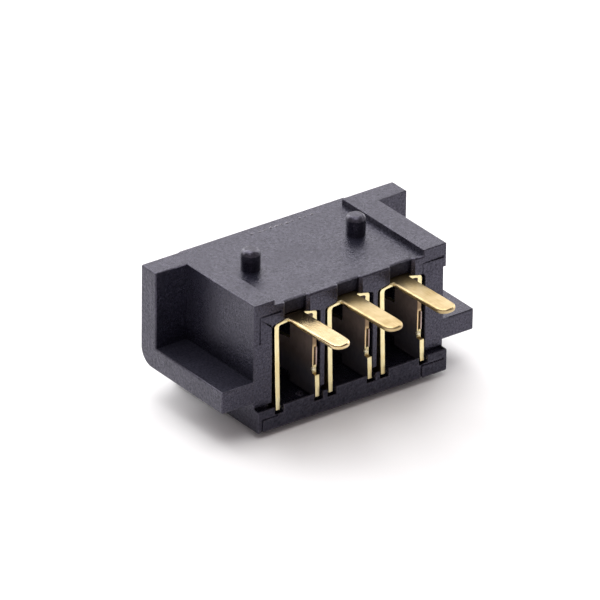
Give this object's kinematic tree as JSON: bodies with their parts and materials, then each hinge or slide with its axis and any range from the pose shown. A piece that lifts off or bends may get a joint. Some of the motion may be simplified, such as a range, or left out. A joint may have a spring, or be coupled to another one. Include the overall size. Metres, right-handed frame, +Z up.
{
  "type": "laptop battery connector",
  "caption": "Black housing with end ears and round locating pegs that holds a row of gold-plated channel contacts, each with a flat solder tail and spring beams for a battery's blade.",
  "frame": {"origin": "on the base, under the middle contact, in the plane of the rear wall", "axes": "+X along the row of contacts, +Y towards the mating side, +Z up, with the pegs on top"},
  "size_m": [0.012, 0.0088, 0.006],
  "materials": {
    "housing": "matte, fine grain",
    "contact": "bright gold plating"
  },
  "bodies": {
    "root": {"housing": "housing", "contact_1": "contact", "contact_2": "contact", "contact_3": "contact"}
  },
  "joints": []
}
